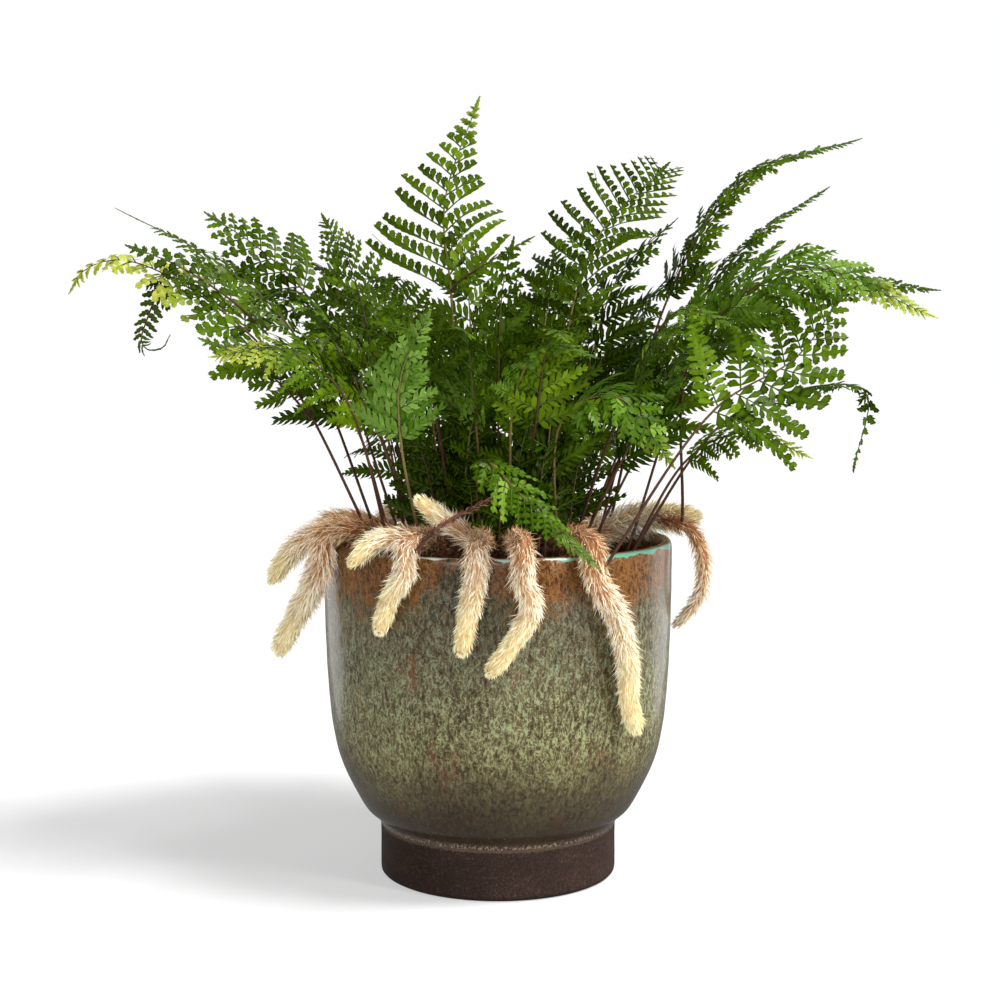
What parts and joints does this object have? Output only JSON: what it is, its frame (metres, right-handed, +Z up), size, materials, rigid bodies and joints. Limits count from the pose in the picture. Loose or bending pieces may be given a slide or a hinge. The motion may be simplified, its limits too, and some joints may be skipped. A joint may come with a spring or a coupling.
{
  "type": "potted fern",
  "caption": "White rabbit's foot fern in a glazed footed pot: furry rhizomes creep over the rim and lacy arching fronds stand on dark thin stalks.",
  "frame": {"origin": "centre of the pot's flat underside, on the surface it stands on", "axes": "+Z up along the pot's axis; -Y is the side that faces the viewer in the picture; +X to the viewer's right"},
  "size_m": [0.418, 0.2891, 0.3772],
  "materials": {
    "glaze": "glossy reactive glaze, sage green speckle over dark brown, rust at the rim, bare dark brown foot",
    "potting_mix": "rough dark peat and bark crumbs",
    "rhizome_fur": "dense hair-like scales, tan at the base and cream at the blunt tips",
    "leaf": "semi-gloss leathery green leaflets on dark brown stipes",
    "young_leaf": "semi-gloss light green leaflets, yellow towards the tip",
    "dry_stalk": "dry scaly reddish brown"
  },
  "bodies": {
    "root": {"pot": "glaze", "potting_mix": "potting_mix", "rhizome_left": "rhizome_fur", "rhizome_left_back": "rhizome_fur", "rhizome_front_left": "rhizome_fur", "rhizome_front_mid": "rhizome_fur", "rhizome_front_centre": "rhizome_fur", "rhizome_front_right": "rhizome_fur", "rhizome_right": "rhizome_fur", "rhizome_back_right": "rhizome_fur", "rhizome_back_mid": "rhizome_fur", "rhizome_back_left": "rhizome_fur", "dry_stalk": "dry_stalk", "frond_tall": "leaf", "frond_twin": "leaf", "frond_far_arch": "leaf", "frond_near_arch": "leaf", "frond_gold_right": "young_leaf", "frond_dark_right": "leaf", "frond_fan_right": "leaf", "frond_hook_right": "leaf", "frond_lime_right": "young_leaf", "frond_gold_left": "young_leaf", "frond_spear_left": "leaf", "frond_comb_left": "leaf", "frond_lime_left": "young_leaf", "frond_upright_left": "leaf", "frond_bright_centre": "leaf", "frond_drape_centre": "leaf", "frond_bow_right": "young_leaf", "frond_spring_centre": "leaf", "frond_crown_01": "leaf", "frond_crown_02": "leaf", "frond_crown_03": "leaf", "frond_crown_04": "leaf", "frond_crown_05": "leaf", "frond_crown_06": "leaf", "frond_crown_07": "leaf", "frond_crown_08": "leaf", "frond_crown_09": "leaf", "frond_crown_10": "leaf", "frond_crown_11": "leaf", "frond_crown_12": "leaf", "frond_crown_13": "leaf", "frond_crown_14": "leaf", "frond_crown_15": "leaf", "frond_crown_16": "leaf", "frond_crown_17": "leaf"}
  },
  "joints": []
}
